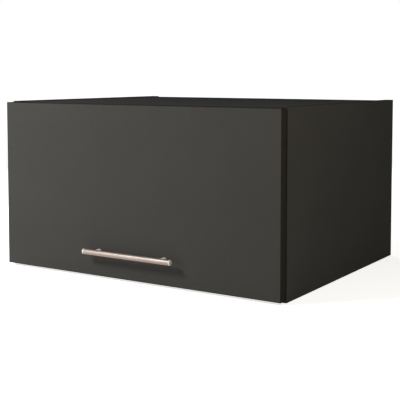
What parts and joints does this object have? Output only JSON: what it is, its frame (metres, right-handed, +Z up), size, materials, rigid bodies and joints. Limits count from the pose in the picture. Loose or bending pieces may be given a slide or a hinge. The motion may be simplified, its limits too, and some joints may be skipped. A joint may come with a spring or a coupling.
{
  "type": "lift up wall cabinet",
  "caption": "Short, deep kitchen wall cabinet in graphite board with a top-hung flap that lifts on gas struts and a round bar handle.",
  "frame": {"origin": "centre of the carcass's underside, half way along its width and its depth", "axes": "+X to the right as seen from the front, +Y from the flap to the wall, +Z up"},
  "size_m": [0.6, 0.511, 0.32],
  "materials": {
    "graphite_board": "melamine faced board, satin, fine grained",
    "graphite_back": "thin coated fibreboard, matt",
    "brushed_steel": "brushed along the bar, warm tone",
    "nickel": "nickel plated, satin",
    "zinc": "bright zinc plated",
    "grey_lacquer": "silver grey lacquer",
    "black_plastic": "moulded, satin",
    "white_plastic": "moulded, satin",
    "clear_rubber": "soft and milky"
  },
  "bodies": {
    "carcass": {"side_panel_left": "graphite_board", "side_panel_right": "graphite_board", "top_panel": "graphite_board", "bottom_panel": "graphite_board", "back_panel": "graphite_back", "cam_lock_lower_front_left": "zinc", "cam_lock_lower_front_right": "zinc", "cam_lock_lower_rear_left": "zinc", "cam_lock_lower_rear_right": "zinc", "cam_lock_upper_front_left": "zinc", "cam_lock_upper_front_right": "zinc", "cam_lock_upper_rear_left": "zinc", "cam_lock_upper_rear_right": "zinc", "cam_bolt_lower_front_left": "zinc", "cam_bolt_lower_front_right": "zinc", "cam_bolt_lower_rear_left": "zinc", "cam_bolt_lower_rear_right": "zinc", "cam_bolt_upper_front_left": "zinc", "cam_bolt_upper_front_right": "zinc", "cam_bolt_upper_rear_left": "zinc", "cam_bolt_upper_rear_right": "zinc", "hinge_plate_left": "nickel", "hinge_plate_right": "nickel", "hinge_arm_left": "nickel", "hinge_arm_right": "nickel", "strut_side_bracket_left": "zinc", "strut_side_bracket_right": "zinc", "hanger_housing_left": "white_plastic", "hanger_housing_right": "white_plastic", "hanger_height_screw_left": "zinc", "hanger_height_screw_right": "zinc", "hanger_depth_screw_left": "zinc", "hanger_depth_screw_right": "zinc"},
    "flap": {"flap_door": "graphite_board", "handle_bar": "brushed_steel", "handle_post_left": "brushed_steel", "handle_post_right": "brushed_steel", "handle_screw_left": "zinc", "handle_screw_right": "zinc", "flap_bumper_left": "clear_rubber", "flap_bumper_right": "clear_rubber", "hinge_cup_left": "nickel", "hinge_cup_right": "nickel", "strut_flap_bracket_left": "zinc", "strut_flap_bracket_right": "zinc"},
    "outer_link_left": {"hinge_outer_link_left": "nickel"},
    "outer_link_right": {"hinge_outer_link_right": "nickel"},
    "inner_link_left": {"hinge_inner_link_left": "nickel"},
    "inner_link_right": {"hinge_inner_link_right": "nickel"},
    "strut_tube_left": {"strut_upper_socket_left": "black_plastic", "strut_cylinder_left": "grey_lacquer"},
    "strut_tube_right": {"strut_upper_socket_right": "black_plastic", "strut_cylinder_right": "grey_lacquer"},
    "strut_piston_left": {"strut_rod_left": "nickel", "strut_lower_socket_left": "black_plastic"},
    "strut_piston_right": {"strut_rod_right": "nickel", "strut_lower_socket_right": "black_plastic"},
    "hook_left": {"hanger_hook_left": "zinc"},
    "hook_right": {"hanger_hook_right": "zinc"}
  },
  "joints": [
    {"name": "flap_lift", "type": "hinge", "parent": "carcass", "child": "flap", "pos_m": [0, -0.249, 0.311], "axis": [-1, 0, 0], "range_deg": [0, 95]},
    {"name": "outer_link_left_turn", "type": "hinge", "parent": "carcass", "child": "outer_link_left", "pos_m": [-0.2, -0.245, 0.285], "axis": [1, 0, 0], "range_deg": [0, 41.33]},
    {"name": "outer_link_right_turn", "type": "hinge", "parent": "carcass", "child": "outer_link_right", "pos_m": [0.2, -0.245, 0.285], "axis": [1, 0, 0], "range_deg": [0, 41.33]},
    {"name": "inner_link_left_turn", "type": "hinge", "parent": "carcass", "child": "inner_link_left", "pos_m": [-0.2, -0.245, 0.288], "axis": [1, 0, 0], "range_deg": [0, 47.93]},
    {"name": "inner_link_right_turn", "type": "hinge", "parent": "carcass", "child": "inner_link_right", "pos_m": [0.2, -0.245, 0.288], "axis": [1, 0, 0], "range_deg": [0, 47.93]},
    {"name": "strut_left_swing", "type": "hinge", "parent": "flap", "child": "strut_tube_left", "pos_m": [-0.2679, -0.223, 0.241], "axis": [1, 0, 0], "range_deg": [0, 116.32]},
    {"name": "strut_right_swing", "type": "hinge", "parent": "flap", "child": "strut_tube_right", "pos_m": [0.2679, -0.223, 0.241], "axis": [1, 0, 0], "range_deg": [0, 116.32]},
    {"name": "strut_left_stroke", "type": "slide", "parent": "strut_tube_left", "child": "strut_piston_left", "axis": [0, 0.1778, -0.9841], "range_m": [0, 0.0833]},
    {"name": "strut_right_stroke", "type": "slide", "parent": "strut_tube_right", "child": "strut_piston_right", "axis": [0, 0.1778, -0.9841], "range_m": [0, 0.0833]},
    {"name": "hook_left_height", "type": "slide", "parent": "carcass", "child": "hook_left", "axis": [0, 0, 1], "range_m": [0, 0.012]},
    {"name": "hook_right_height", "type": "slide", "parent": "carcass", "child": "hook_right", "axis": [0, 0, 1], "range_m": [0, 0.012]}
  ],
  "couplings": [
    {"joint": "outer_link_left_turn", "follows": "flap_lift", "ratio": 0.435},
    {"joint": "outer_link_right_turn", "follows": "flap_lift", "ratio": 0.435},
    {"joint": "inner_link_left_turn", "follows": "flap_lift", "ratio": 0.50446},
    {"joint": "inner_link_right_turn", "follows": "flap_lift", "ratio": 0.50446},
    {"joint": "strut_left_swing", "follows": "flap_lift", "ratio": 1.2243},
    {"joint": "strut_right_swing", "follows": "flap_lift", "ratio": 1.2243},
    {"joint": "strut_left_stroke", "follows": "flap_lift", "m_per_rad": 0.050232},
    {"joint": "strut_right_stroke", "follows": "flap_lift", "m_per_rad": 0.050232}
  ]
}
